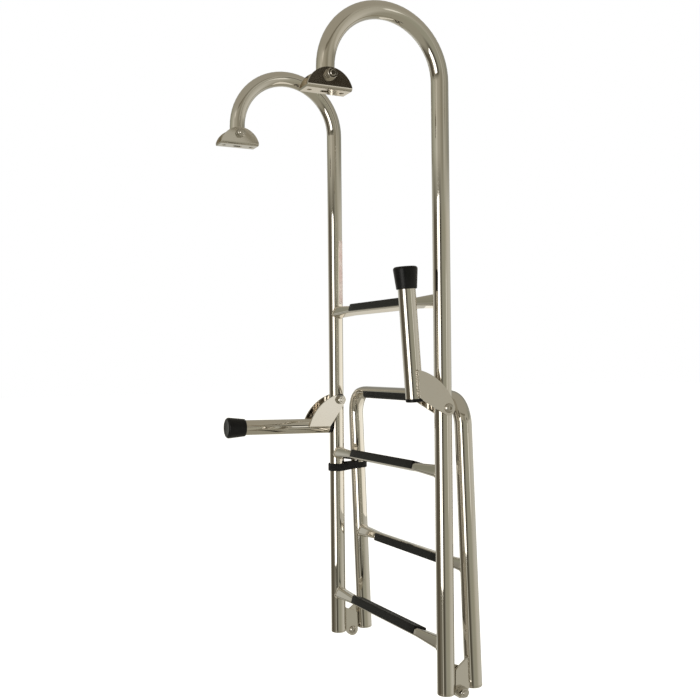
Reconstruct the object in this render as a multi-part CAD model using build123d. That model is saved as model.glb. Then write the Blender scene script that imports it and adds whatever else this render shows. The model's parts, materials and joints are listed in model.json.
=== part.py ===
from build123d import *
import math
import os

# Boarding ladder that hangs over a boat's gunwale. Millimetres, +Z up.
# Origin: on the deck, midway between the two deck brackets. -Y is inboard, +Y is the swimmer's side.

# Tube stock
TUBE_R = 12.7
TUBE_WALL = 1.5
END_CAP = 3.0
WELD_GAP = 0.03

# Main frame: two hooked rails and three rungs
RAIL_X = 178.0
HOOK_R = 91.0
RAIL_Y = 2 * HOOK_R
ARC_Z = 34.0
HOOK_END_Z = 9.0
RAIL_BOTTOM_Z = -846.0
RUNG_TOP_Z = -280.4
RUNG_PITCH = 248.0
RUNG_ZS = [RUNG_TOP_Z - i * RUNG_PITCH for i in range(3)]

# Rung: tube flattened in the middle, squared up with flat sides where it meets a rail.
# Rungs lean towards the swimmer, so they come level once the stand-offs push the ladder's foot off the hull.
RUNG_DEPTH = 20.4
RUNG_HEIGHT = 12.4
RUNG_CORNER = 3.6
RUNG_END_DEPTH = 17.5
RUNG_END_HEIGHT = 18.5
RUNG_END_CORNER = 4.0
RUNG_TAPER = 55.0
RUNG_TILT = 17.0

# Tread: rubber saddle clipped over the top of a rung or of the bottom bar; skirt_z is its lower edge
TREAD_SET_IN = 62.0
BAR_TREAD_SET_IN = 65.0
TREAD_GAP = 0.05
RUNG_TREAD = {"top": 2.4, "side": 1.6, "skirt_z": -4.2, "corner": 2.4}
BAR_TREAD = {"top": 4.4, "side": 1.8, "skirt_z": -0.5, "corner": 5.0}

# Folding lower section, drawn hanging straight down and then swung up to its folded pose
LEG_X = 174.0
LEG_GAP = 0.3
BEND_R = 44.0
BAR_DEPTH_R = 16.0
BAR_HEIGHT_R = 7.2
LOWER_RUNG_Z = -1020.0
BAR_Z = -1271.0
FOLD_ANGLE = 182.0

# Bottom hinges
HINGE_Y = RAIL_Y + 25.0
HINGE_Z = RAIL_BOTTOM_Z + 1.0
TAB_T = 4.0
TAB_R = 10.0
TAB_X = RAIL_X - 2.0
TAB_SPACER = 1.0

# Stand-off arms, drawn deployed towards -Y and then swung up by their own angle
ARM_PIVOT_Z = -435.0
ARM_DROP = 46.2
ARM_REACH = 205.0
ARM_ANGLES = {"left": 1.0, "right": 86.0}
BUMPER_T = 5.0
BUMPER_GAP = 0.15
CHEEK_T = 3.0
CHEEK_IN = 13.0
CHEEK_END_R = 10.5
PAD_LENGTH = 32.0
PAD_INNER_R = 14.8
PAD_OUTER_R = 18.0
PAD_RIM = 4.0
PAD_DISH = 0.8
PAD_WALL = 6.0

# Deck brackets
BRACKET_LENGTH = 66.0
BRACKET_HEIGHT = 29.5
BRACKET_SIDE = 5.0
SHEET_T = 3.0
SHEET_BEND = 4.0
BRACKET_BOLT_Z = 19.0
DECK_HOLE_R = 3.25
DECK_HOLE_Y = 24.0
DECK_SLOT = (16.0, 8.0)

# M8 fasteners
BOLT_R = 4.0
HOLE_R = 4.05
BUTTON_R = 7.0
BUTTON_H = 4.4
SOCKET_AF = 5.0
SOCKET_DEPTH = 2.6
HEX_AF = 13.0
HEX_HEAD_H = 5.3
NUT_H = 6.5
LOCKNUT_H = 8.0
WASHER_R = 8.0
WASHER_HOLE_R = 4.2
WASHER_T = 1.6
THREAD_OUT = 1.5
FACE_GAP = 0.05

# Storage strap and label
STRAP_Z = -553.0
STRAP_H = 12.5
STRAP_T = 2.4
STRAP_GAP = 0.5
LABEL_ZS = (-266.0, -153.0)
LABEL_T = 0.25
LABEL_HALF_ANGLE = 30.0
LABEL_TURN = 36.0

SIDES = {"left": -1, "right": 1}


def cylinder_x(radius, x0, x1, y, z):
    """Round bar along X between x0 and x1."""
    return Pos((x0 + x1) / 2, y, z) * Rot(0, 90, 0) * Cylinder(radius, abs(x1 - x0))


def cylinder_z(radius, z0, z1, x, y):
    """Round bar along Z between z0 and z1."""
    return Pos(x, y, (z0 + z1) / 2) * Cylinder(radius, abs(z1 - z0))


def yz_plate(face, x0, x1, y=0.0, z=0.0):
    """Plate from x0 to x1. The face is drawn with Y across and Z up."""
    start = min(x0, x1)
    plane = Plane(origin=(start, y, z), x_dir=(0, 1, 0), z_dir=(1, 0, 0))
    return extrude(plane * face, amount=abs(x1 - x0))


def swing(shape, y, z, degrees):
    """Turn a shape about the X line through y, z. Positive lifts what points to -Y."""
    axis = Axis((0, y, z), (-1, 0, 0))
    return shape.rotate(axis, degrees)


def mirrored(shape, side):
    """The right-hand shape as it is, or its mirror image for the left."""
    return shape if side == "right" else mirror(shape, about=Plane.YZ)


# ---- fasteners, drawn along X with the bearing face at x = 0 ----


def hex_prism(across_flats, height):
    """Plain hexagon bar."""
    corner_r = across_flats / math.sqrt(3)
    plane = Plane(origin=(0, 0, 0), x_dir=(0, 1, 0), z_dir=(1, 0, 0))
    return extrude(plane * RegularPolygon(corner_r, 6), amount=height)


def chamfered_hex(across_flats, height):
    """Hexagon whose outer corners are turned down to a cone."""
    corner_r = across_flats / math.sqrt(3)
    turned = Rot(0, 90, 0) * Cylinder(corner_r, height, align=(Align.CENTER, Align.CENTER, Align.MIN))
    outer = turned.edges().sort_by(Axis.X)[-1]
    return hex_prism(across_flats, height) & chamfer(outer, corner_r - across_flats / 2 + 0.25)


def nut(height):
    """Hexagon nut, bored for the bolt."""
    return chamfered_hex(HEX_AF, height) - cylinder_x(HOLE_R, -1, height + 1, 0, 0)


def washer():
    """Flat washer."""
    return cylinder_x(WASHER_R, 0, WASHER_T, 0, 0) - cylinder_x(WASHER_HOLE_R, -1, WASHER_T + 1, 0, 0)


def button_head():
    """Low domed head with a hexagon socket."""
    flat_r = SOCKET_AF * 0.75
    skirt = Polyline((0, 0), (0, BUTTON_R), (0.6, BUTTON_R))
    dome = ThreePointArc((0.6, BUTTON_R), (0.7 * BUTTON_H, 0.8 * BUTTON_R), (BUTTON_H, flat_r))
    top = Polyline((BUTTON_H, flat_r), (BUTTON_H, 0), (0, 0))
    head = revolve(make_face(Wire([*skirt.edges(), *dome.edges(), *top.edges()])), Axis.X)
    return head - Pos(BUTTON_H - SOCKET_DEPTH, 0, 0) * hex_prism(SOCKET_AF, SOCKET_DEPTH + 1)


def bolt(head, grip):
    """Head outside x = 0 and a shank of length grip towards -X."""
    shank = cylinder_x(BOLT_R, -grip, 0, 0, 0)
    tip = shank.edges().sort_by(Axis.X)[0]
    return head + chamfer(tip, 0.8)


# ---- main frame ----


def rail():
    """Right-hand rail: a straight tube whose top hooks inboard and down to the deck bracket."""
    foot = (RAIL_X, RAIL_Y, RAIL_BOTTOM_Z + END_CAP)
    spring = (RAIL_X, RAIL_Y, ARC_Z)
    crown = (RAIL_X, HOOK_R, ARC_Z + HOOK_R)
    drop = (RAIL_X, 0, ARC_Z)
    path = Line(foot, spring) + ThreePointArc(spring, crown, drop) + Line(drop, (RAIL_X, 0, HOOK_END_Z))
    ring = Circle(TUBE_R) - Circle(TUBE_R - TUBE_WALL)
    tube = sweep(Plane(origin=foot, z_dir=(0, 0, 1)) * ring, path=path)
    span = (RAIL_X - 2 * TUBE_R, RAIL_X + 2 * TUBE_R)
    tube -= cylinder_x(HOLE_R, *span, RAIL_Y, ARM_PIVOT_Z)
    tube -= cylinder_x(HOLE_R, *span, 0, BRACKET_BOLT_Z)
    return tube


def end_cap(x, y, z_tube, z_out):
    """Disc welded over a tube's end, its outer edge rounded."""
    disc = cylinder_z(TUBE_R, z_tube, z_out, x, y)
    edges = disc.edges().filter_by(GeomType.CIRCLE).sort_by(Axis.Z)
    outer = edges[0] if z_out < z_tube else edges[-1]
    return fillet(outer, 1.2)


def rung_body(half, inset):
    """Rung along X between rail axes at +-half; inset moves the skin inwards for the tube's bore."""

    def section(x, depth, height, corner):
        plane = Plane(origin=(x, 0, 0), x_dir=(0, 1, 0), z_dir=(1, 0, 0))
        return plane * RectangleRounded(depth - 2 * inset, height - 2 * inset, corner - inset)

    flat_half = half - TUBE_R - RUNG_TAPER
    middle = (RUNG_DEPTH, RUNG_HEIGHT, RUNG_CORNER)
    body = extrude(section(-flat_half, *middle), amount=2 * flat_half)
    for sign in (-1, 1):
        wide = section(sign * flat_half, *middle)
        narrow = section(sign * (half - TUBE_R), RUNG_END_DEPTH, RUNG_END_HEIGHT, RUNG_END_CORNER)
        body += loft([wide, narrow])
        body += extrude(narrow, amount=TUBE_R, dir=(sign, 0, 0))
    return body


def rung(half):
    """Flattened tube, tilted, its ends cut to fit the rails."""
    body = Rot(-RUNG_TILT, 0, 0) * (rung_body(half, 0) - rung_body(half, TUBE_WALL))
    for sign in (-1, 1):
        body -= Pos(sign * half, 0, 0) * Cylinder(TUBE_R + WELD_GAP, 4 * TUBE_R)
    return body


def saddle(depth, height, length, tread):
    """Rubber block along X over the top of a core of this depth and height, before the core is cut out."""
    wide = depth + 2 * tread["side"]
    tall = height / 2 + tread["top"]
    block = Pos(0, (tall + tread["skirt_z"]) / 2) * Rectangle(wide, tall - tread["skirt_z"])
    block = fillet(block.vertices().sort_by(Axis.Y)[-2:], tread["corner"])
    return yz_plate(block, -length / 2, length / 2)


def rung_tread(half):
    """Tread for a flattened rung, tilted with it."""
    length = 2 * (half - TUBE_R - TREAD_SET_IN)
    block = saddle(RUNG_DEPTH, RUNG_HEIGHT, length, RUNG_TREAD)
    return Rot(-RUNG_TILT, 0, 0) * (block - rung_body(half, -TREAD_GAP))


def tab_face(z_low, z_high, lobe_z):
    """Petal outline about the hinge pivot: a tube on its -Y side, a round eye, a softened corner."""
    eye = Circle(TAB_R).edges()
    lobe = (Pos(2.5, lobe_z) * Circle(6.0)).edges()
    root = Line((-17, z_low), (-17, z_high))
    return make_hull([*eye, *lobe, root.edge()]) - Circle(HOLE_R)


def rail_tab():
    """Right-hand hinge tab on the rail, inboard of its partner along X."""
    outer = TAB_X - TAB_SPACER / 2
    tab = yz_plate(tab_face(4.5, 42.0, 28.0), outer - TAB_T, outer, HINGE_Y, HINGE_Z)
    return tab - cylinder_z(TUBE_R + WELD_GAP, RAIL_BOTTOM_Z - 20, RAIL_BOTTOM_Z + 80, RAIL_X, RAIL_Y)


def hinge_stack():
    """Right-hand hinge fasteners: button head inside, washers, locknut outside."""
    inner = TAB_X - TAB_SPACER / 2 - TAB_T - FACE_GAP
    outer = TAB_X + TAB_SPACER / 2 + TAB_T + FACE_GAP
    grip = outer + WASHER_T + LOCKNUT_H + THREAD_OUT - inner
    at_pivot = Pos(0, HINGE_Y, HINGE_Z)
    screw = at_pivot * Pos(inner, 0, 0) * Rot(0, 0, 180) * bolt(button_head(), grip)
    lock = at_pivot * Pos(outer + WASHER_T, 0, 0) * nut(LOCKNUT_H)
    spacer = cylinder_x(WASHER_R, TAB_X - TAB_SPACER / 2 + FACE_GAP, TAB_X + TAB_SPACER / 2 - FACE_GAP, 0, 0)
    spacer -= cylinder_x(WASHER_HOLE_R, TAB_X - 2, TAB_X + 2, 0, 0)
    rings = at_pivot * Compound(children=[*spacer.solids(), *(Pos(outer, 0, 0) * washer()).solids()])
    return screw, lock, rings


def arm_pivot_stack():
    """Right-hand stand-off pivot: button head outside, washer and nut inside."""
    face = CHEEK_IN + CHEEK_T + FACE_GAP
    grip = 2 * face + WASHER_T + NUT_H + THREAD_OUT
    at_pivot = Pos(RAIL_X, RAIL_Y, ARM_PIVOT_Z)
    screw = at_pivot * Pos(face, 0, 0) * bolt(button_head(), grip)
    ring = at_pivot * Pos(-face, 0, 0) * Rot(0, 0, 180) * washer()
    hexagon = at_pivot * Pos(-face - WASHER_T, 0, 0) * Rot(0, 0, 180) * nut(NUT_H)
    return screw, hexagon, ring


# ---- folding lower section ----


def u_tube_body(inset):
    """U shape of legs, bends and bottom bar; the round tube flattens as it turns into the bar."""
    leg_r = TUBE_R - inset
    leg_top = RAIL_BOTTOM_Z - LEG_GAP - END_CAP
    bend_z = BAR_Z + BEND_R
    bar_half = LEG_X - BEND_R
    lead = 10.0

    def oval(x, z, turn, share):
        plane = Plane(origin=(x, RAIL_Y, z), x_dir=(0, 1, 0), z_dir=(-math.sin(turn), 0, -math.cos(turn)))
        flat = share * share * (3 - 2 * share)
        wide = leg_r + flat * (BAR_DEPTH_R - TUBE_R)
        thin = leg_r - flat * (TUBE_R - BAR_HEIGHT_R)
        return plane * Ellipse(wide, thin)

    def bend(sign):
        steps = 8
        sections = [oval(sign * LEG_X, bend_z + lead, 0, 0)]
        for i in range(steps + 1):
            turn = math.radians(90 * i / steps)
            x = LEG_X - BEND_R * (1 - math.cos(turn))
            z = bend_z - BEND_R * math.sin(turn)
            sections.append(oval(sign * x, z, sign * turn, i / steps))
        sections.append(oval(sign * (bar_half - lead), BAR_Z, sign * math.pi / 2, 1))
        return loft(sections)

    bar_end = bar_half - lead
    bar_plane = Plane(origin=(-bar_end, RAIL_Y, BAR_Z), x_dir=(0, 1, 0), z_dir=(1, 0, 0))
    bar = Ellipse(BAR_DEPTH_R - inset, BAR_HEIGHT_R - inset)
    body = extrude(bar_plane * bar, amount=2 * bar_end)
    for sign in (-1, 1):
        body += bend(sign)
        body += cylinder_z(leg_r, bend_z + lead, leg_top, sign * LEG_X, RAIL_Y)
    return body


def u_tube():
    """Hollow U tube."""
    return u_tube_body(0) - u_tube_body(TUBE_WALL)


def bar_tread():
    """Tread for the bottom bar, over the straight between the bends."""
    length = 2 * (LEG_X - BAR_TREAD_SET_IN)
    block = Pos(0, RAIL_Y, BAR_Z) * saddle(2 * BAR_DEPTH_R, 2 * BAR_HEIGHT_R, length, BAR_TREAD)
    return block - u_tube_body(-TREAD_GAP)


def leg_tab():
    """Right-hand hinge tab on the folding leg, outboard of its partner along X."""
    start = TAB_X + TAB_SPACER / 2
    tab = yz_plate(tab_face(-9.0, -49.0, -29.0), start, start + TAB_T, HINGE_Y, HINGE_Z)
    tab -= cylinder_z(TUBE_R + WELD_GAP, RAIL_BOTTOM_Z - 80, RAIL_BOTTOM_Z, LEG_X, RAIL_Y)
    return tab - cylinder_z(TUBE_R + 0.5, RAIL_BOTTOM_Z - 0.5, RAIL_BOTTOM_Z + 40, RAIL_X, RAIL_Y)


def folded(shape):
    """The lower section swung from hanging down to folded up behind the rails."""
    return swing(shape, HINGE_Y, HINGE_Z, -FOLD_ANGLE)


# ---- stand-off arms, drawn about the pivot at y = 0, z = 0 on the rail's axis x = 0 ----


def arm_tube():
    """Tube from the bumper to just inside the pad."""
    near = TUBE_R + BUMPER_GAP + BUMPER_T
    far = ARM_REACH - PAD_WALL - 0.1
    ring = Circle(TUBE_R) - Circle(TUBE_R - TUBE_WALL)
    return extrude(Plane(origin=(0, -near, -ARM_DROP), z_dir=(0, -1, 0)) * ring, amount=far - near)


def bumper():
    """Rubber stop that meets the rail when the arm is deployed, with a plug into the tube."""
    face_y = TUBE_R + BUMPER_GAP
    plane = Plane(origin=(0, -face_y, -ARM_DROP), z_dir=(0, -1, 0))
    disc = extrude(plane * Circle(TUBE_R), amount=BUMPER_T)
    disc = fillet(disc.edges().filter_by(GeomType.CIRCLE).sort_by(Axis.Y)[-1], 1.5)
    return disc + extrude(plane * Circle(TUBE_R - TUBE_WALL - 0.05), amount=BUMPER_T + 10)


def pad():
    """Rubber foot: a cup over the tube's end, flared towards a slightly dished face."""
    flare = Pos(0, 0, PAD_LENGTH / 2) * Cone(PAD_INNER_R, PAD_OUTER_R, PAD_LENGTH)
    rims = flare.edges().filter_by(GeomType.CIRCLE).sort_by(Axis.Z)
    cup = fillet(rims[-1], PAD_RIM)
    cup = fillet(cup.edges().filter_by(GeomType.CIRCLE).sort_by(Axis.Z)[0], 1.0)
    cup -= Cylinder(TUBE_R + 0.05, 2 * (PAD_LENGTH - PAD_WALL))
    dish_r = PAD_OUTER_R - PAD_RIM - 1.5
    ball_r = (dish_r**2 + PAD_DISH**2) / (2 * PAD_DISH)
    cup -= Pos(0, 0, PAD_LENGTH - PAD_DISH + ball_r) * Sphere(ball_r)
    return Pos(0, -(ARM_REACH - PAD_LENGTH), -ARM_DROP) * Rot(90, 0, 0) * cup


def cheek():
    """Petal plate from the pivot eye to the weld along the arm tube's side."""
    weld_far = (-58.7, -ARM_DROP)
    weld_near = (-19.0, -ARM_DROP)
    reach = math.hypot(*weld_near)
    tangent = math.atan2(weld_near[1], weld_near[0]) + math.acos(CHEEK_END_R / reach)
    eye_low = (CHEEK_END_R * math.cos(tangent), CHEEK_END_R * math.sin(tangent))
    eye_top = (-3.4, math.sqrt(CHEEK_END_R**2 - 3.4**2))
    eye_mid = (CHEEK_END_R * math.cos(0.5), CHEEK_END_R * math.sin(0.5))
    back = ThreePointArc(weld_far, (-31.5, -4.4), eye_top)
    eye = ThreePointArc(eye_top, eye_mid, eye_low)
    front = Polyline(eye_low, weld_near, weld_far)
    return make_face(Wire([*back.edges(), *eye.edges(), *front.edges()])) - Circle(HOLE_R)


def placed_arm(shape, side):
    """Arm piece moved to its rail and swung to its rest angle."""
    moved = Pos(0, RAIL_Y, ARM_PIVOT_Z) * shape
    turned = swing(moved, RAIL_Y, ARM_PIVOT_Z, ARM_ANGLES[side])
    return mirrored(Pos(RAIL_X, 0, 0) * turned, side)


# ---- deck brackets, drawn about x = 0 ----


def deck_bracket():
    """Bent channel with two domed ears, holes for deck screws and a drain slot."""
    half = CHEEK_IN + SHEET_T
    tall = BRACKET_HEIGHT + 4
    outer = Pos(0, tall / 2) * Rectangle(2 * half, tall)
    outer = fillet(outer.vertices().sort_by(Axis.Y)[:2], SHEET_BEND)
    inner = Pos(0, SHEET_T + tall / 2) * Rectangle(2 * CHEEK_IN, tall)
    inner = fillet(inner.vertices().sort_by(Axis.Y)[:2], SHEET_BEND - SHEET_T)
    plane = Plane(origin=(0, BRACKET_LENGTH / 2, 0), x_dir=(1, 0, 0), z_dir=(0, -1, 0))
    channel = extrude(plane * (outer - inner), amount=BRACKET_LENGTH)
    end = BRACKET_LENGTH / 2
    sides = Polyline((-end, BRACKET_SIDE), (-end, 0), (end, 0), (end, BRACKET_SIDE))
    dome = ThreePointArc((end, BRACKET_SIDE), (0, BRACKET_HEIGHT), (-end, BRACKET_SIDE))
    channel &= yz_plate(make_face(Wire([*sides.edges(), *dome.edges()])), -half, half)
    channel -= cylinder_x(HOLE_R, -2 * half, 2 * half, 0, BRACKET_BOLT_Z)
    for y in (-DECK_HOLE_Y, DECK_HOLE_Y):
        channel -= cylinder_z(DECK_HOLE_R, -1, SHEET_T + 1, 0, y)
    slot = SlotOverall(*DECK_SLOT, rotation=90)
    return channel - extrude(Pos(0, 0, -1) * slot, amount=SHEET_T + 2)


def bracket_stack():
    """Bracket bolt: hexagon head towards -X, washer and nut towards +X."""
    face = CHEEK_IN + SHEET_T
    at_pivot = Pos(0, 0, BRACKET_BOLT_Z)
    grip = 2 * face + WASHER_T + NUT_H + THREAD_OUT
    screw = at_pivot * Pos(-face, 0, 0) * Rot(0, 0, 180) * bolt(chamfered_hex(HEX_AF, HEX_HEAD_H), grip)
    ring = at_pivot * Pos(face, 0, 0) * washer()
    hexagon = at_pivot * Pos(face + WASHER_T, 0, 0) * nut(NUT_H)
    return screw, hexagon, ring


# ---- strap and label on the left rail ----


def strap():
    """Closed rubber band round the left rail and the folded left leg."""
    lift = STRAP_Z - HINGE_Z
    lean = math.radians(FOLD_ANGLE - 180)
    leg_y = HINGE_Y + (HINGE_Y - RAIL_Y) / math.cos(lean) - lift * math.tan(lean)

    def loop(radius):
        around_rail = (Pos(-RAIL_X, RAIL_Y) * Circle(radius)).edges()
        around_leg = (Pos(-LEG_X, leg_y) * Circle(radius)).edges()
        return make_hull([*around_rail, *around_leg])

    inside = TUBE_R + STRAP_GAP
    band = loop(inside + STRAP_T) - loop(inside)
    return extrude(Pos(0, 0, STRAP_Z - STRAP_H / 2) * band, amount=STRAP_H)


def label():
    """Blank label, curved round the left rail and facing the other rail."""
    inside = TUBE_R + 0.05
    ring = Circle(inside + LABEL_T) - Circle(inside)
    far = 2 * TUBE_R
    spread = far * math.tan(math.radians(LABEL_HALF_ANGLE))
    wedge = make_face(Polyline((0, 0), (far, -spread), (far, spread), (0, 0)))
    face = Pos(-RAIL_X, RAIL_Y, LABEL_ZS[0]) * Rot(0, 0, LABEL_TURN) * (ring & wedge)
    return extrude(face, amount=LABEL_ZS[1] - LABEL_ZS[0])


def build():
    """Every node of the ladder, by name."""
    nodes = {}
    for name, z in zip(("upper", "middle", "lower"), RUNG_ZS):
        nodes[f"rung_{name}"] = Pos(0, RAIL_Y, z) * rung(RAIL_X)
        nodes[f"tread_{name}"] = Pos(0, RAIL_Y, z) * rung_tread(RAIL_X)
    nodes["storage_strap"] = strap()
    nodes["rail_label"] = label()
    nodes["lower_frame_tube"] = folded(u_tube())
    nodes["lower_frame_rung"] = folded(Pos(0, RAIL_Y, LOWER_RUNG_Z) * rung(LEG_X))
    nodes["lower_frame_tread"] = folded(Pos(0, RAIL_Y, LOWER_RUNG_Z) * rung_tread(LEG_X))
    nodes["bottom_bar_tread"] = folded(bar_tread())
    leg_end = RAIL_BOTTOM_Z - LEG_GAP
    for side, sign in SIDES.items():
        nodes[f"rail_{side}"] = mirrored(rail(), side)
        nodes[f"rail_end_cap_{side}"] = end_cap(sign * RAIL_X, RAIL_Y, RAIL_BOTTOM_Z + END_CAP, RAIL_BOTTOM_Z)
        nodes[f"rail_hinge_tab_{side}"] = mirrored(rail_tab(), side)
        screw, lock, rings = hinge_stack()
        nodes[f"hinge_bolt_{side}"] = mirrored(screw, side)
        nodes[f"hinge_locknut_{side}"] = mirrored(lock, side)
        nodes[f"hinge_washers_{side}"] = mirrored(rings, side)
        screw, hexagon, ring = arm_pivot_stack()
        nodes[f"standoff_bolt_{side}"] = mirrored(screw, side)
        nodes[f"standoff_nut_{side}"] = mirrored(hexagon, side)
        nodes[f"standoff_washer_{side}"] = mirrored(ring, side)
        nodes[f"leg_end_cap_{side}"] = folded(end_cap(sign * LEG_X, RAIL_Y, leg_end - END_CAP, leg_end))
        nodes[f"leg_hinge_tab_{side}"] = folded(mirrored(leg_tab(), side))
        nodes[f"standoff_tube_{side}"] = placed_arm(arm_tube(), side)
        nodes[f"standoff_bumper_{side}"] = placed_arm(bumper(), side)
        nodes[f"standoff_pad_{side}"] = placed_arm(pad(), side)
        outer = yz_plate(cheek(), CHEEK_IN, CHEEK_IN + CHEEK_T)
        inner = yz_plate(cheek(), -CHEEK_IN - CHEEK_T, -CHEEK_IN)
        nodes[f"standoff_cheek_outer_{side}"] = placed_arm(outer, side)
        nodes[f"standoff_cheek_inner_{side}"] = placed_arm(inner, side)
        at_hook = Pos(sign * RAIL_X, 0, 0)
        screw, hexagon, ring = bracket_stack()
        nodes[f"deck_bracket_{side}"] = at_hook * deck_bracket()
        nodes[f"bracket_bolt_{side}"] = at_hook * screw
        nodes[f"bracket_nut_{side}"] = at_hook * hexagon
        nodes[f"bracket_washer_{side}"] = at_hook * ring
    return nodes


os.makedirs("parts", exist_ok=True)
for name, shape in build().items():
    export_step(shape, f"parts/{name}.step")
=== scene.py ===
import json
import math

import bmesh
import bpy
from mathutils import Matrix, Vector, noise


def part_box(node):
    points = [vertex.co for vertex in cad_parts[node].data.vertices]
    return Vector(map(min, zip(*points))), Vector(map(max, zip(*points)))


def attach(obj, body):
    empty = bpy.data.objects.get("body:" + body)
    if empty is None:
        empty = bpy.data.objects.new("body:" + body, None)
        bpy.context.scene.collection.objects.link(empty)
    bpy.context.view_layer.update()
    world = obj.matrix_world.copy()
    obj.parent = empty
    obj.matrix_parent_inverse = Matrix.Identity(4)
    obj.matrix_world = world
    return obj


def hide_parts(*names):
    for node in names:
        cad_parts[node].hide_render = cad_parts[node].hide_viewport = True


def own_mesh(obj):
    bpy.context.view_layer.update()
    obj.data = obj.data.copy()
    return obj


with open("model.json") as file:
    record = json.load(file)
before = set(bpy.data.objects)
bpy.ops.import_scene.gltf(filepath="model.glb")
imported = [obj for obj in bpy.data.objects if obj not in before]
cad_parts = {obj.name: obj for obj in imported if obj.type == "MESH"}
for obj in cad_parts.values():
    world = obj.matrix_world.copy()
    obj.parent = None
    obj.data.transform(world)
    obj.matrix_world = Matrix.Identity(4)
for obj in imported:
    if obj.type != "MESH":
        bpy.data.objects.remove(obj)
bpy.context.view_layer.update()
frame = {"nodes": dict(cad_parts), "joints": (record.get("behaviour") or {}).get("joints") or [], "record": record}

# Sizes of the ladder, in metres, as the CAD has them. A section's pair is (half depth, half height, ...).
RAIL_X = 0.178
RAIL_Y = 0.182
TUBE_R = 0.0127
LEG_X = 0.174
RUNG_HALF_DEPTH = 0.0102
RUNG_HALF_HEIGHT = 0.0062
RUNG_CORNER = 0.0036
RUNG_END = (0.00875, 0.00925, 0.004)
RUNG_TILT = math.radians(17.0)
BAR_RADII = (0.016, 0.0072)
STRAP_Z = -0.553
LEG_AT_STRAP_Y = 0.2218

# Pieces of the lower section are drawn hanging straight down, at these heights, and FOLD swings them up
LOWER_RUNG_Z = -1.020
BAR_Z = -1.271
FOLD_DEGREES = 182.0
joints = {j["name"]: j for j in frame["joints"]}
hinge_point = Vector(joints["lower_fold"]["pos_m"])
FOLD = (
    Matrix.Translation(hinge_point)
    @ Matrix.Rotation(math.radians(FOLD_DEGREES), 4, "X")
    @ Matrix.Translation(-hinge_point)
)


# ---- colour and nodes ----


def linear(red, green, blue):
    """Screen colour, 0 to 255, as linear light."""
    out = []
    for value in (red, green, blue):
        c = value / 255
        out.append(c / 12.92 if c <= 0.04045 else ((c + 0.055) / 1.055) ** 2.4)
    return out


class Graph:
    """Short way to add and join the nodes of a tree."""

    def __init__(self, tree):
        self.tree = tree
        tree.nodes.clear()

    def add(self, kind, inputs=None, **settings):
        node = self.tree.nodes.new(kind)
        for key, value in settings.items():
            setattr(node, key, value)
        for key, value in (inputs or {}).items():
            self.feed(node.inputs[key], value)
        return node

    def feed(self, socket, value):
        if isinstance(value, bpy.types.NodeSocket):
            self.tree.links.new(value, socket)
        else:
            socket.default_value = value

    def math(self, operation, *values):
        node = self.add("ShaderNodeMath", operation=operation)
        for socket, value in zip(node.inputs, values):
            self.feed(socket, value)
        return node.outputs[0]

    def noise(self, vector, scale, detail=2.0, roughness=0.5):
        node = self.add(
            "ShaderNodeTexNoise",
            {"Vector": vector, "Scale": scale, "Detail": detail, "Roughness": roughness},
        )
        return node.outputs["Fac"]

    def span(self, value, low, high, to_low, to_high):
        node = self.add(
            "ShaderNodeMapRange",
            {"Value": value, "From Min": low, "From Max": high, "To Min": to_low, "To Max": to_high},
        )
        return node.outputs["Result"]

    def stretched(self, vector, scale):
        return self.add("ShaderNodeMapping", {"Vector": vector, "Scale": scale}).outputs["Vector"]

    def mix(self, factor, first, second):
        node = self.add("ShaderNodeMix", data_type="RGBA")
        self.feed(node.inputs[0], factor)
        self.feed(node.inputs[6], first)
        self.feed(node.inputs[7], second)
        return node.outputs[2]

    def bump(self, height, strength, distance, normal=None):
        inputs = {"Height": height, "Strength": strength, "Distance": distance}
        if normal is not None:
            inputs["Normal"] = normal
        return self.add("ShaderNodeBump", inputs).outputs["Normal"]


def material(name):
    made = bpy.data.materials.new(name)
    made.use_nodes = True
    return made, Graph(made.node_tree)


def finish_material(graph, **inputs):
    shader = graph.add("ShaderNodeBsdfPrincipled")
    for key, value in inputs.items():
        graph.feed(shader.inputs[key.replace("_", " ")], value)
    out = graph.add("ShaderNodeOutputMaterial")
    graph.tree.links.new(shader.outputs["BSDF"], out.inputs["Surface"])


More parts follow.
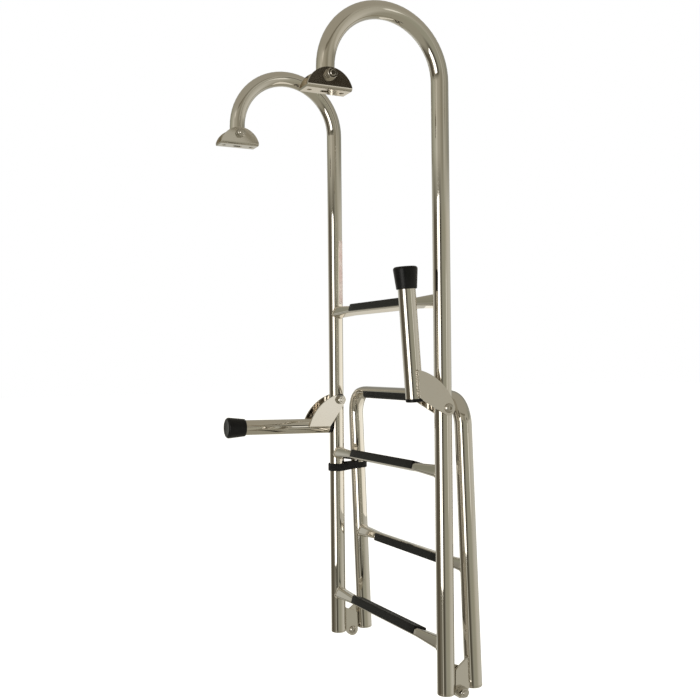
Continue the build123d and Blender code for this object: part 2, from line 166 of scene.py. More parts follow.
def steel(name, color, rough, grain, wave, edge=0.0, crown_at=None):
    """Stainless steel, a little warmer where it has been handled.

    rough is the (clean, smudged) roughness, grain the depth of the scratches, wave that of the slow ripple
    and edge the radius that corners seem to have. With crown_at, sides look bulged about that height, as a
    squeezed tube's do.
    """
    made, g = material(name)
    at = g.add("ShaderNodeTexCoord").outputs["Object"]
    smudge = g.noise(at, 38.0, 4.0, 0.6)
    film = g.noise(at, 9.0, 3.0, 0.55)
    lengthwise = g.noise(g.stretched(at, (1500.0, 1500.0, 40.0)), 1.0, 3.0, 0.7)
    crosswise = g.noise(g.stretched(at, (40.0, 1500.0, 1500.0)), 1.0, 3.0, 0.7)
    scratches = g.math("ADD", lengthwise, crosswise)
    worn = g.math("ADD", g.math("MULTIPLY", smudge, 0.65), g.math("MULTIPLY", film, 0.35))
    roughness = g.span(worn, 0.36, 0.66, rough[0], rough[1])
    roughness = g.math("ADD", roughness, g.span(scratches, 0.7, 1.35, 0.0, 0.02))
    warm = [color[0] * 0.96, color[1] * 0.92, color[2] * 0.87]
    tone = g.mix(g.span(film, 0.38, 0.7, 0.0, 0.6), [*color, 1], [*warm, 1])
    ripple = g.bump(g.noise(at, 17.0, 1.0, 0.4), 1.0, wave)
    if crown_at is not None:
        height = g.add("ShaderNodeSeparateXYZ", {"Vector": at}).outputs["Z"]
        off = g.math("SUBTRACT", height, crown_at)
        ripple = g.bump(g.math("MULTIPLY", g.math("MULTIPLY", off, off), -CROWN), 1.0, 1.0, ripple)
    normal = g.bump(scratches, 0.5, grain, ripple)
    if edge:
        normal = g.add("ShaderNodeBevel", {"Radius": edge, "Normal": normal}, samples=4).outputs["Normal"]
    finish_material(g, Base_Color=tone, Metallic=1.0, Roughness=roughness, Normal=normal)
    return made


def rubber(name, color, rough, pore, sheen):
    """Moulded rubber: slightly chalky, finely pitted."""
    made, g = material(name)
    at = g.add("ShaderNodeTexCoord").outputs["Object"]
    bloom = g.noise(at, 45.0, 4.0, 0.6)
    pits = g.noise(at, 1400.0, 3.0, 0.6)
    scuff = g.noise(g.stretched(at, (60.0, 900.0, 900.0)), 1.0, 3.0, 0.6)
    chalk = [c * 2.2 + 0.003 for c in color]
    tone = g.mix(g.span(bloom, 0.4, 0.72, 0.0, 0.6), [*color, 1], [*chalk, 1])
    tone = g.mix(g.span(scuff, 0.6, 0.78, 0.0, 0.3), tone, [0.04, 0.038, 0.034, 1])
    roughness = g.span(bloom, 0.3, 0.7, rough[0], rough[1])
    normal = g.bump(pits, 0.6, pore, g.bump(bloom, 0.4, 0.0003))
    finish_material(
        g, Base_Color=tone, Roughness=roughness, Normal=normal, Sheen_Weight=sheen, Sheen_Roughness=0.5,
        Specular_IOR_Level=0.24,
    )
    return made


def webbing(name):
    """Woven black elastic: a fine diagonal rib both ways."""
    made, g = material(name)
    at = g.add("ShaderNodeTexCoord").outputs["Object"]
    ribs = []
    for turn in (0.7, -0.7):
        turned = g.add("ShaderNodeMapping", {"Vector": at, "Rotation": (0.0, turn, turn)}).outputs["Vector"]
        wave = g.add(
            "ShaderNodeTexWave", {"Vector": turned, "Scale": 260.0, "Distortion": 1.2, "Detail": 1.0},
            bands_direction="Z",
        )
        ribs.append(wave.outputs["Fac"])
    weave = g.math("MAXIMUM", ribs[0], ribs[1])
    fuzz = g.noise(at, 900.0, 3.0, 0.7)
    tone = g.mix(g.math("MULTIPLY", weave, 0.8), [0.0025, 0.0025, 0.0025, 1], [0.0095, 0.0093, 0.009, 1])
    tone = g.mix(g.span(fuzz, 0.62, 0.8, 0.0, 0.5), tone, [0.03, 0.029, 0.027, 1])
    normal = g.bump(weave, 0.8, 0.0005, g.bump(fuzz, 0.5, 0.0002))
    finish_material(
        g, Base_Color=tone, Roughness=0.78, Normal=normal, Sheen_Weight=0.06, Sheen_Roughness=0.4,
        Specular_IOR_Level=0.3,
    )
    return made


LABEL_BORDER = 0.006


def vinyl(name, low_z, high_z):
    """Blank pinkish label film, scuffed and a little grubby towards its ends."""
    made, g = material(name)
    at = g.add("ShaderNodeTexCoord").outputs["Object"]
    height = g.add("ShaderNodeSeparateXYZ", {"Vector": at}).outputs["Z"]
    wear = g.noise(at, 240.0, 4.0, 0.65)
    fade = g.noise(at, 40.0, 2.0, 0.5)
    half = (high_z - low_z) / 2
    from_middle = g.math("ABSOLUTE", g.math("SUBTRACT", height, low_z + half))
    border = g.span(from_middle, half - LABEL_BORDER, half, 0.0, 1.0)
    tone = g.mix(g.span(fade, 0.35, 0.7, 0.0, 1.0), [0.74, 0.56, 0.52, 1], [0.84, 0.75, 0.70, 1])
    grubby = g.math("MULTIPLY", g.span(wear, 0.45, 0.7, 0.0, 1.0), g.math("ADD", border, 0.25))
    tone = g.mix(grubby, tone, [0.42, 0.36, 0.32, 1])
    normal = g.bump(wear, 0.3, 0.0001)
    finish_material(
        g, Base_Color=tone, Roughness=g.span(wear, 0.3, 0.7, 0.28, 0.5), Normal=normal, Coat_Weight=0.3,
        Coat_Roughness=0.15,
    )
    return made


STEEL_TINT = (0.80, 0.765, 0.705)
CROWN = 9.0
POLISHED = {"color": STEEL_TINT, "rough": (0.02, 0.055), "grain": 0.000002, "wave": 0.0001}
TUBE_STEEL = steel("polished_tube", **POLISHED)
PLATE_STEEL = steel("buffed_sheet", (0.79, 0.755, 0.70), (0.05, 0.10), 0.000003, 0.0001, 0.0004)
FASTENER_STEEL = steel("bright_fastener", (0.66, 0.63, 0.58), (0.06, 0.14), 0.00001, 0.0001, 0.0003)
# Weld bead steel: its darker, warmer base colour is partly the bead's own dull, heat-tinted metal and partly
# painted shade. It darkens the joints round the rung ends and tabs, where shadow lines fall.
WELD_STEEL_AND_SHADE = steel("weld_bead_and_shade", (0.62, 0.575, 0.50), (0.10, 0.22), 0.00002, 0.0002)
TREAD_RUBBER = rubber("tread_rubber", (0.0040, 0.0040, 0.0036), (0.42, 0.56), 0.00006, 0.02)
PAD_RUBBER = rubber("pad_rubber", (0.0035, 0.0035, 0.0035), (0.26, 0.36), 0.00004, 0.01)
STRAP_WEBBING = webbing("strap_webbing")
label_low, label_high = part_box("rail_label")
LABEL_VINYL = vinyl("label_vinyl", label_low.z, label_high.z)

BY_SLOT = {
    "tube_steel": TUBE_STEEL,
    "plate_steel": PLATE_STEEL,
    "fastener_steel": FASTENER_STEEL,
    "rubber": PAD_RUBBER,
    "strap_rubber": STRAP_WEBBING,
    "label": LABEL_VINYL,
}
slot_of = {part["node"]: part["material_slot"] for part in frame["record"]["subparts"]}
for node_name, node in frame["nodes"].items():
    node.data.materials.clear()
    node.data.materials.append(BY_SLOT[slot_of[node_name]])


MAIN_RUNGS = ("rung_upper", "rung_middle", "rung_lower")
FOLDING_RUNG = "lower_frame_rung"


def middle_height(node_name):
    """Height of the middle of a node's box."""
    low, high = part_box(node_name)
    return (low.z + high.z) / 2


for node_name in (*MAIN_RUNGS, FOLDING_RUNG):
    crowned = steel(f"steel_{node_name}", **POLISHED, crown_at=middle_height(node_name))
    frame["nodes"][node_name].data.materials[0] = crowned


# ---- mesh helpers ----


def add_object(name, data):
    made = bpy.data.objects.new(name, data)
    bpy.context.scene.collection.objects.link(made)
    return made


def piece(name, points, faces, finish, body, sharp=35.0, place=None):
    """A new shown mesh that rides on a body."""
    mesh = bpy.data.meshes.new(name)
    mesh.from_pydata([Vector(p) for p in points], [], faces)
    work = bmesh.new()
    work.from_mesh(mesh)
    bmesh.ops.remove_doubles(work, verts=work.verts, dist=1e-7)
    bmesh.ops.recalc_face_normals(work, faces=work.faces)
    bmesh.ops.triangulate(work, faces=[f for f in work.faces if len(f.verts) > 4])
    work.to_mesh(mesh)
    work.free()
    if place is not None:
        mesh.transform(place)
    mesh.shade_smooth()
    mesh.set_sharp_from_angle(angle=math.radians(sharp))
    mesh.materials.append(finish)
    made = add_object(name, mesh)
    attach(made, body)
    return made


def loft(rings, closed=False):
    """Points and faces through rings of as many points each. A loft that isn't closed gets end caps."""
    count = len(rings[0])
    points = [p for ring in rings for p in ring]
    faces = []
    last = len(rings) if closed else len(rings) - 1
    for i in range(last):
        a = i * count
        b = ((i + 1) % len(rings)) * count
        for k in range(count):
            n = (k + 1) % count
            faces.append((a + k, a + n, b + n, b + k))
    if not closed:
        faces.append(tuple(range(count)))
        faces.append(tuple(reversed(range(len(points) - count, len(points)))))
    return points, faces


def arc(cy, cz, radius, start, end, steps):
    """Points of an arc in the Y, Z plane; angles in degrees from +Y towards +Z."""
    out = []
    for i in range(steps + 1):
        turn = math.radians(start + (end - start) * i / steps)
        out.append((cy + radius * math.cos(turn), cz + radius * math.sin(turn)))
    return out


# ---- weld beads ----

BEAD_PITCH = 0.0021
BEAD_STEP = 0.0005
BEAD_SIDES = 10
BEAD_TAPER = 0.0014
BEAD_BLUNT = 0.0002


def evenly(path, step, closed):
    """The path again, with points about one step apart."""
    path = [Vector(p) for p in path]
    if closed:
        path.append(path[0])
    lengths = [0.0]
    for a, b in zip(path, path[1:]):
        lengths.append(lengths[-1] + (b - a).length)
    count = max(4, round(lengths[-1] / step))
    out = []
    k = 0
    for i in range(count if closed else count + 1):
        s = lengths[-1] * i / count
        while k < len(path) - 2 and lengths[k + 1] < s:
            k += 1
        share = (s - lengths[k]) / max(1e-9, lengths[k + 1] - lengths[k])
        out.append(path[k].lerp(path[k + 1], share))
    return out


def bead(name, path, radius, body, closed=True, place=None, seed=0.0, sides=BEAD_SIDES):
    """A rippled weld bead along a path. An open one tapers at its ends."""
    line = evenly(path, BEAD_STEP, closed)
    total = len(line)
    rings = []
    side = None
    for i, point in enumerate(line):
        before = line[i - 1] if closed or i else point
        after = line[(i + 1) % total] if closed or i < total - 1 else point
        tangent = (after - before).normalized()
        if side is None:
            side = tangent.orthogonal().normalized()
        side = (side - tangent * side.dot(tangent)).normalized()
        other = tangent.cross(side)
        travelled = i * BEAD_STEP
        ripple = abs(math.sin(math.pi * travelled / BEAD_PITCH + 0.6 * math.sin(travelled * 310 + seed)))
        uneven = noise.noise(point * 160 + Vector((seed, 0, 0)))
        r = radius * (0.80 + 0.22 * math.sqrt(ripple) + 0.14 * uneven)
        if not closed:
            from_end = min(i, total - 1 - i) * BEAD_STEP
            r *= math.sqrt(min(1.0, (from_end + BEAD_BLUNT) / BEAD_TAPER))
        rings.append(
            [
                point + (side * math.cos(t) + other * math.sin(t)) * r
                for t in (2 * math.pi * k / sides for k in range(sides))
            ]
        )
    points, faces = loft(rings, closed)
    # The bead takes the weld material, whose darker colour is partly painted shade along the joint.
    return piece(name, points, faces, WELD_STEEL_AND_SHADE, body, 60.0, place)


def tilted(y, z, angle):
    """A point of a rung's own section, turned so that its +Y side drops by the tilt."""
    return y * math.cos(angle) + z * math.sin(angle), z * math.cos(angle) - y * math.sin(angle)


def rung_outline(grow):
    """Points round a rung's squared end in Y, Z about its own axis."""
    half_y, half_z, corner = RUNG_END
    out = []
    for sy, sz, start in ((1, 1, 0), (-1, 1, 90), (-1, -1, 180), (1, -1, 270)):
        cy = sy * (half_y - corner)
        cz = sz * (half_z - corner)
        out += arc(cy, cz, corner + grow, start, start + 90, 6)
    return [tilted(y, z, RUNG_TILT) for y, z in out]


RUNG_BEAD_R = 0.00125
RUNG_BEAD_PROUD = 0.0002
TUBE_BEAD_PROUD = 0.0001
SIDES = (("left", -1), ("right", 1))


def rung_weld(name, tube_x, z, sign, body, place, seed):
    """Bead where a rung's end meets its rail or leg, following the saddle-shaped joint."""
    path = []
    for y, dz in rung_outline(RUNG_BEAD_PROUD):
        inside = max(0.0, (TUBE_R + TUBE_BEAD_PROUD) ** 2 - y * y)
        path.append((sign * (tube_x - math.sqrt(inside)), RAIL_Y + y, z + dz))
    return bead(name, path, RUNG_BEAD_R, body, True, place, seed)


rung_joints = [(name, RAIL_X, middle_height(name), "main_frame", None) for name in MAIN_RUNGS]
rung_joints.append((FOLDING_RUNG, LEG_X, LOWER_RUNG_Z, "lower_section", FOLD))
for level, (node_name, tube_x, z, body, place) in enumerate(rung_joints):
    for side, sign in SIDES:
        rung_weld(f"weld_{node_name}_{side}", tube_x, z, sign, body, place, level * 3.1 + sign)

# Stand-off arms: a bead under each cheek plate, drawn about the pivot with the arm level, then swung with it
CHEEK_BEAD_R = 0.0018
CHEEK_BEAD_X = 0.0136
CHEEK_BEAD_ENDS = (-0.0200, -0.0582)
CHEEK_BEAD_Z = -0.0469
ARM_REST = {"left": 1.0, "right": 86.0}
for side, sign in SIDES:
    pivot = Vector(joints[f"standoff_{side}_swing"]["pos_m"])
    swing = Matrix.Translation(pivot) @ Matrix.Rotation(math.radians(-ARM_REST[side]), 4, "X")
    for face, out in (("outer", sign), ("inner", -sign)):
        under = [(out * CHEEK_BEAD_X, y, CHEEK_BEAD_Z) for y in CHEEK_BEAD_ENDS]
        bead(f"weld_cheek_{face}_{side}", under, CHEEK_BEAD_R, f"standoff_{side}", False, swing, 5.0 + sign)

# Hinge tabs: a bead down each face where the plate meets the tube, between two heights from the hinge
TAB_BEAD_R = 0.0010
TAB_BEAD_OUT = 0.0005
TAB_BEAD_PROUD = 0.0002
RAIL_TAB = {"faces": (0.1715, 0.1755), "tube_x": RAIL_X, "heights": (0.002, 0.041)}
LEG_TAB = {"faces": (0.1765, 0.1805), "tube_x": LEG_X, "heights": (-0.010, -0.048)}
for side, sign in SIDES:
    for kind, tab, body, place in (
        ("rail", RAIL_TAB, "main_frame", None),
        ("leg", LEG_TAB, "lower_section", FOLD),
    ):
        for end, x, out in zip(("inner", "outer"), tab["faces"], (-1, 1)):
            across = x - tab["tube_x"]
            y = RAIL_Y + math.sqrt(TUBE_R**2 - across**2) + TAB_BEAD_PROUD
            line = [(sign * (x + out * TAB_BEAD_OUT), y, hinge_point.z + dz) for dz in tab["heights"]]
            bead(f"weld_{kind}_tab_{end}_{side}", line, TAB_BEAD_R, body, False, place, 8.0 + sign)

# End caps: a fine seam where the disc was welded on and polished back
SEAM_R = 0.00042
SEAM_SIDES = 6
SEAM_ROUND = TUBE_R - 0.00025
SEAM_STEPS = 48
RAIL_SEAM_Z = -0.843
LEG_SEAM_Z = -0.8493
for side, sign in SIDES:
    for kind, x, z, body, place in (
        ("rail", RAIL_X, RAIL_SEAM_Z, "main_frame", None),
        ("leg", LEG_X, LEG_SEAM_Z, "lower_section", FOLD),
    ):
        seam = []
        for k in range(SEAM_STEPS):
            turn = 2 * math.pi * k / SEAM_STEPS
            seam.append((sign * x + SEAM_ROUND * math.cos(turn), RAIL_Y + SEAM_ROUND * math.sin(turn), z))
        bead(f"seam_{kind}_cap_{side}", seam, SEAM_R, body, True, place, 2.0 + sign, SEAM_SIDES)


# ---- treads ----

# A saddle's thickness over the top and at the sides, the height of its lips, and its grooves
RUNG_TREAD = {
    "top": 0.0024, "side": 0.0016, "skirt": -0.0042, "corner": 0.0024, "grooves": 3, "tilt": RUNG_TILT,
}
BAR_TREAD = {
    "top": 0.0044, "side": 0.0018, "skirt": -0.0005, "corner": 0.005, "grooves": 5, "tilt": 0.0,
}
TREAD_CLEAR = 0.00006
GROOVE_PITCH = 0.0045
GROOVE_HALF = 0.0007
END_ROUND = 0.0011
# Half of a groove, from its edge to its floor, as (across from its middle, down)
GROOVE = ((GROOVE_HALF + 0.0004, 0.0), (GROOVE_HALF, 0.0002), (GROOVE_HALF * 0.4, 0.0006))
# A rounded lip, from its underside to its outside, as (in from the side, up)
LIP = ((0.0006, 0.0), (0.00015, 0.0002), (0.0, 0.0007))


def tread_profile(half_core, half_height, size, oval):
    """Outer and inner halves of a saddle's section, each from the -Y lip over the top to the +Y lip."""
    wide = half_core + size["side"]
    top = half_height + size["top"]
    skirt = size["skirt"]
    corner = size["corner"]
    outer = [(-wide + across, skirt + up) for across, up in LIP]
    outer += arc(-wide + corner, top - corner, corner, 180, 90, 10)
    for i in range(size["grooves"]):
        y = (i - (size["grooves"] - 1) / 2) * GROOVE_PITCH
        outer += [(y - across, top - down) for across, down in GROOVE]
        outer += [(y + across, top - down) for across, down in reversed(GROOVE)]
    outer += arc(wide - corner, top - corner, corner, 90, 0, 10)
    outer += [(wide - across, skirt + up) for across, up in reversed(LIP)]
    core_y = half_core + TREAD_CLEAR
    core_z = half_height + TREAD_CLEAR
    if oval:
        start = math.degrees(math.asin(-skirt / core_z))
        inner = []
        for i in range(25):
            turn = math.radians(180 + start - (180 + 2 * start) * i / 24)
            inner.append((core_y * math.cos(turn), core_z * math.sin(turn)))
    else:
        core_corner = RUNG_CORNER + TREAD_CLEAR
        cy = core_y - core_corner
        cz = core_z - core_corner
        dip = math.degrees(math.asin((-skirt - cz) / core_corner))
        inner = arc(-cy, -cz, core_corner, 180 + dip, 180, 4)
        inner += arc(-cy, cz, core_corner, 180, 90, 8)
        inner += arc(cy, cz, core_corner, 90, 0, 8)
        inner += arc(cy, -cz, core_corner, 0, -dip, 4)
    return outer, inner


def tread(name, node_name, z, half_core, half_height, size, body, place, oval=False):
    """Ribbed rubber saddle that replaces a tread node."""
    low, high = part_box(node_name)
    half = (high.x - low.x) / 2
    outer, inner = tread_profile(half_core, half_height, size, oval)
    rounded = []
    for i in range(5):
        turn = math.radians(22.5 * i)
        rounded.append((-half + END_ROUND * (1 - math.cos(turn)), END_ROUND * (1 - math.sin(turn))))
    middle = [(-half + END_ROUND + (2 * half - 2 * END_ROUND) * i / 12, 0.0) for i in range(1, 12)]
    stations = rounded + middle + [(-x, shrink) for x, shrink in reversed(rounded)]
    mid_z = (half_height - size["skirt"]) * 0.4
    rings = []
    for x, shrink in stations:
        ring = []
        for y, dz in outer:
            away = Vector((y, dz - mid_z))
            pulled = away * max(0.0, 1 - shrink / max(away.length, 1e-6))
            ring.append((pulled.x, mid_z + pulled.y))
        ring += reversed(inner)
        ring = [tilted(y, dz, size["tilt"]) for y, dz in ring]
        rings.append([(x, RAIL_Y + y, z + dz) for y, dz in ring])
    points, faces = loft(rings)
    made = piece(name, points, faces, TREAD_RUBBER, body, 50.0, place)
    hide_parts(node_name)
    return made


rung_core = (RUNG_HALF_DEPTH, RUNG_HALF_HEIGHT, RUNG_TREAD)
for level in ("upper", "middle", "lower"):
    z = middle_height(f"rung_{level}")
    tread(f"ribbed_tread_{level}", f"tread_{level}", z, *rung_core, "main_frame", None)
tread("ribbed_tread_folding", "lower_frame_tread", LOWER_RUNG_Z, *rung_core, "lower_section", FOLD)
tread("ribbed_tread_bar", "bottom_bar_tread", BAR_Z, *BAR_RADII, BAR_TREAD, "lower_section", FOLD, True)


# ---- storage strap ----

STRAP_R = 0.0144
STRAP_HALF_H = 0.0064
STRAP_HALF_T = 0.0013
STRAP_RISE = 0.0016
LEG_NARROWING = 0.2
DRAW_IN = 0.0011
RAIL_CENTER = Vector((-RAIL_X, RAIL_Y, 0))
LEG_CENTER = Vector((-LEG_X, LEG_AT_STRAP_Y, 0))


def band_section(height, thick):
    """Rounded strip section: offsets (outward, up)."""
    edge = thick * 0.8
    corners = (
        (thick - edge, height - edge, 0),
        (-(thick - edge), height - edge, 90),
        (-(thick - edge), -(height - edge), 180),
        (thick - edge, -(height - edge), 270),
    )
    out = []
    for cy, cz, start in corners:
        out += arc(cy, cz, edge, start, start + 90, 3)
    return out


def ribbon(name, stations, body):
    """Strip through stations of (point, outward, half height, half thickness)."""
    rings = []
    for point, outward, half_h, half_t in stations:
        rings.append([point + outward * u + Vector((0, 0, w)) for u, w in band_section(half_h, half_t)])
    points, faces = loft(rings)
    return piece(name, points, faces, STRAP_WEBBING, body, 50.0)


def round_station(center, degrees, travel, lift, share=0.0):
    """Station on a round part of the strap, travel metres along it; share is 0 on the rail, 1 on the leg."""
    turn = math.radians(degrees)
    outward = Vector((math.cos(turn), math.sin(turn), 0))
    wobble = noise.noise(Vector((travel * 90, 3.7, 0)))
    return (
        center + outward * (STRAP_R + 0.0002 * wobble) + Vector((0, 0, STRAP_Z + lift + 0.0006 * wobble)),
        outward,
        STRAP_HALF_H * (1 + 0.08 * wobble) * (1 - LEG_NARROWING * share),
        STRAP_HALF_T,
    )


def free_station(side, share, flutter):
    """Station between the rail and the leg, on the strap's -X or +X side, which the tension draws in."""
    start = RAIL_CENTER + Vector((side * STRAP_R, 0, STRAP_Z - STRAP_RISE))
    end = LEG_CENTER + Vector((side * STRAP_R, 0, STRAP_Z + STRAP_RISE))
    inward = -side * DRAW_IN * math.sin(math.pi * share)
    lift = flutter * noise.noise(Vector((share * 4, 1.3, 2)))
    return (
        start.lerp(end, share) + Vector((inward, 0, lift)),
        Vector((side, 0, 0)),
        STRAP_HALF_H * (1 - LEG_NARROWING * share),
        STRAP_HALF_T,
    )


def tail_station(share):
    """Station on the loose end, which runs along the band's inner side and curls up a little."""
    point = Vector((
        -RAIL_X + STRAP_R + 0.0022 + 0.0008 * math.sin(3 * share),
        RAIL_Y + 0.0125 + 0.0215 * share,
        STRAP_Z + 0.0034 + 0.0046 * share**3 + 0.0008 * math.sin(9 * share),
    ))
    return point, Vector((1, 0, 0)), 0.0046 * (1 - 0.25 * share), 0.0010


ROUND_STEPS = 20
FREE_STEPS = 12
TAIL_STEPS = 14
STEP_TRAVEL = 0.0022
front = [
    round_station(RAIL_CENTER, 180 + 180 * i / ROUND_STEPS, i * STEP_TRAVEL, -STRAP_RISE)
    for i in range(ROUND_STEPS + 1)
]
band = [round_station(RAIL_CENTER, 0, 0.05, -STRAP_RISE)]
band += [free_station(1, i / FREE_STEPS, 0.0005) for i in range(1, FREE_STEPS)]
band += [
    round_station(LEG_CENTER, 180 * i / ROUND_STEPS, 0.1 + i * STEP_TRAVEL, STRAP_RISE, 1.0)
    for i in range(ROUND_STEPS + 1)
]
band += [free_station(-1, 1 - i / FREE_STEPS, 0.0) for i in range(1, FREE_STEPS)]
band.append(round_station(RAIL_CENTER, 180, 0.2, -STRAP_RISE))
tail = [tail_station(i / TAIL_STEPS) for i in range(TAIL_STEPS + 1)]
front_piece = ribbon("storage_strap_front", front, "main_frame")
back_piece = ribbon("storage_strap_band", band, "main_frame")
tail_piece = ribbon("storage_strap_tail", tail, "main_frame")
for made in (front_piece, back_piece, tail_piece):
    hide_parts("storage_strap")
for made in (back_piece, tail_piece):
    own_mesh(made)


# ---- studio ----


def compass_ramp(g, around, stops):
    """Colours round the compass: stops of (degrees from +X towards +Y, screen colour seen in the steel)."""
    ramp = g.add("ShaderNodeValToRGB", {"Fac": around})
    elements = ramp.color_ramp.elements
    while len(elements) < len(stops):
        elements.new(1.0)
    for element, (degrees, color) in zip(elements, stops):
        element.position = (degrees + 180) / 360
        element.color = seen_in_steel(color)
    return ramp.outputs["Color"]


def seen_in_steel(color):
    """The surroundings' colour whose reflection in the steel has this screen colour."""
    return [*(c / t for c, t in zip(linear(*color), STEEL_TINT)), 1]


def card(g, room, compass, height, degrees, half, soft, color):
    """Lay a soft-edged card of (half width, half height) degrees over the room, at (compass, height)."""
    across = g.math("ABSOLUTE", g.math("SUBTRACT", compass, math.radians(degrees[0])))
    along = g.math("ABSOLUTE", g.math("SUBTRACT", height, math.radians(degrees[1])))
    inside = g.math(
        "MULTIPLY",
        g.span(across, math.radians(half[0] - soft), math.radians(half[0] + soft), 1.0, 0.0),
        g.span(along, math.radians(half[1] - soft), math.radians(half[1] + soft), 1.0, 0.0),
    )
    return g.mix(inside, room, seen_in_steel(color))


# The room as the steel shows it: walls below and above eye level, as (compass direction in degrees, colour)
LOW_WALLS = (
    (-180, (180, 176, 162)), (-152, (168, 164, 150)), (-140, (112, 106, 92)), (-126, (78, 70, 56)),
    (-104, (84, 77, 62)), (-88, (108, 103, 88)), (-52, (90, 85, 70)), (-44, (62, 58, 46)),
    (-36, (84, 80, 68)), (-27, (120, 116, 102)), (-20, (140, 136, 118)), (14, (142, 138, 119)),
    (32, (162, 156, 139)), (60, (178, 172, 156)), (104, (182, 177, 162)), (124, (150, 146, 134)),
    (150, (168, 164, 150)), (180, (180, 176, 162)),
)
HIGH_WALLS = (
    (-180, (140, 135, 118)), (-150, (125, 122, 105)), (-125, (150, 146, 126)), (-95, (165, 160, 142)),
    (-79, (185, 178, 160)), (-60, (155, 148, 130)), (-38, (152, 145, 127)), (-20, (138, 131, 112)),
    (-2, (122, 116, 98)), (18, (164, 158, 141)), (44, (152, 146, 128)), (62, (141, 137, 120)),
    (70, (112, 107, 92)), (78, (138, 134, 118)), (108, (130, 127, 114)), (150, (118, 115, 106)),
    (180, (140, 135, 118)),
)
CEILING = (146, 139, 122)
GROUND = (140, 134, 116)
# Cards hung in the room: (compass, height), (half width, half height), softness, all in degrees, and colour
CARDS = (
    ((25.0, -2.0), (2.8, 7.5), 0.6, (217, 211, 195)),
    ((26.6, 17.8), (4.4, 4.2), 1.0, (44, 38, 28)),
    ((154.0, -19.0), (7.0, 5.0), 2.0, (196, 188, 170)),
    ((-60.0, 27.0), (9.0, 4.0), 2.0, (196, 188, 170)),
    ((-12.0, 33.0), (30.0, 3.0), 1.5, (106, 99, 82)),
    ((-64.0, -20.5), (5.0, 7.0), 1.5, (176, 170, 154)),
    ((-146.0, -17.0), (12.0, 9.0), 3.0, (82, 76, 61)),
)


def studio_world():
    """Beige studio seen in the steel: the surroundings change with the compass direction and the height."""
    world = bpy.data.worlds.new("studio")
    bpy.context.scene.world = world
    world.use_nodes = True
    g = Graph(world.node_tree)
    toward = g.add("ShaderNodeTexCoord").outputs["Generated"]
    parts = g.add("ShaderNodeSeparateXYZ", {"Vector": toward}).outputs
    compass = g.math("ARCTAN2", parts["Y"], parts["X"])
    height = g.math("ARCSINE", parts["Z"])
    around = g.span(compass, -math.pi, math.pi, 0.0, 1.0)
    low_walls = compass_ramp(g, around, LOW_WALLS)
    high_walls = compass_ramp(g, around, HIGH_WALLS)
    ceiling = seen_in_steel(CEILING)
    ground = seen_in_steel(GROUND)
    above = g.span(height, math.radians(8.5), math.radians(12.5), 0.0, 1.0)
    up = g.span(height, math.radians(20), math.radians(40), 0.0, 1.0)
    down = g.span(height, math.radians(-20), math.radians(-42), 0.0, 1.0)
    room = g.mix(above, low_walls, high_walls)
    room = g.mix(down, g.mix(up, room, ceiling), ground)
    for degrees, half, soft, color in CARDS:
        room = card(g, room, compass, height, degrees, half, soft, color)
    seen = g.add("ShaderNodeLightPath").outputs["Is Camera Ray"]
    surroundings = g.add("ShaderNodeBackground", {"Color": room, "Strength": 1.0}).outputs[0]
    paper = g.add("ShaderNodeBackground", {"Color": (1, 1, 1, 1), "Strength": 1.0}).outputs[0]
    both = g.add("ShaderNodeMixShader")
    for socket, value in zip(both.inputs, (seen, surroundings, paper)):
        g.feed(socket, value)
    out = g.add("ShaderNodeOutputWorld")
    g.tree.links.new(both.outputs[0], out.inputs["Surface"])


def area_light(name, place, target, size, energy, color, glossy=True):
    data = bpy.data.lights.new(name, "AREA")
    data.shape = "RECTANGLE"
    data.size, data.size_y = size
    data.energy = energy
    data.color = color
    lamp = add_object(name, data)
    lamp.location = place
    lamp.rotation_euler = (Vector(target) - Vector(place)).to_track_quat("-Z", "Y").to_euler()
    lamp.visible_camera = False
    lamp.visible_glossy = glossy
    return lamp


studio_world()

# A tall softbox on the inboard side makes the white streaks down the tubes
SOFTBOX_TURN = math.radians(-63)
SOFTBOX_AWAY = 2.6
softbox_aim = Vector((0, 0.18, -0.50))
softbox_place = softbox_aim + SOFTBOX_AWAY * Vector((math.cos(SOFTBOX_TURN), math.sin(SOFTBOX_TURN), 0))
area_light("softbox", softbox_place, softbox_aim, (1.30, 1.62), 15.0, (1.0, 0.985, 0.95))

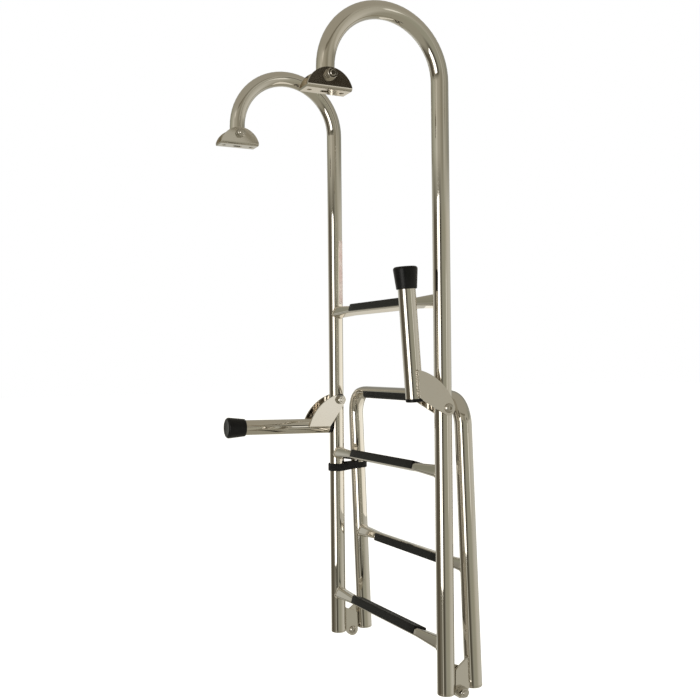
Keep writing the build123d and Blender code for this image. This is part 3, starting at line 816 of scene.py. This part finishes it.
# A cream card behind the left rail, seen only in that rail and the leg behind it
cream_card = area_light(
    "cream_card", (-0.082, 0.318, -0.40), (-0.324, -0.652, -0.40), (0.231, 0.52), 0.183, (1.0, 0.96, 0.89)
)
cream_card.visible_diffuse = False
area_light("overhead", (0.2, -0.3, 2.4), (0, 0.1, -0.4), (2.4, 2.4), 26.0, (1.0, 0.99, 0.96), False)

# The floor lies just below the bottom bar when the lower section hangs down
FLOOR_CLEARANCE = 0.03
FLOOR_HALF = 25.0
floor_mesh = bpy.data.meshes.new("floor")
floor_z = BAR_Z - FLOOR_CLEARANCE
floor_corners = [(x * FLOOR_HALF, y * FLOOR_HALF, floor_z) for x, y in ((-1, -1), (1, -1), (1, 1), (-1, 1))]
floor_mesh.from_pydata(floor_corners, [], [(0, 1, 2, 3)])
floor = add_object("floor", floor_mesh)
paper_floor, g = material("pale_floor")
paper_noise = g.noise(g.add("ShaderNodeTexCoord").outputs["Object"], 3.0, 2.0)
finish_material(
    g, Base_Color=g.mix(paper_noise, [0.90, 0.90, 0.90, 1], [0.93, 0.93, 0.925, 1]), Roughness=0.9,
    Emission_Color=[1, 1, 1, 1], Emission_Strength=0.85,
)
floor_mesh.materials.append(paper_floor)
floor.visible_glossy = False

# ---- camera ----

AIM = math.radians(63.65)
PITCH = math.radians(0.63)
ROLL = math.radians(-0.55)
CAMERA_PLACE = (1.32951, -0.53689, -0.36553)
LENS = 48.22
right = Vector((math.cos(AIM), math.sin(AIM), 0))
forward = Vector((-math.sin(AIM) * math.cos(PITCH), math.cos(AIM) * math.cos(PITCH), math.sin(PITCH)))
up = right.cross(forward)
camera_right = right * math.cos(ROLL) + up * math.sin(ROLL)
camera_up = up * math.cos(ROLL) - right * math.sin(ROLL)
camera_data = bpy.data.cameras.new("camera")
camera_data.sensor_width = 36.0
camera_data.lens = LENS
camera_data.clip_start = 0.05
camera = add_object("camera", camera_data)
pose = Matrix((camera_right, camera_up, -forward)).transposed().to_4x4()
pose.translation = Vector(CAMERA_PLACE)
camera.matrix_world = pose
bpy.context.scene.camera = camera
bpy.context.scene.view_settings.view_transform = "Standard"
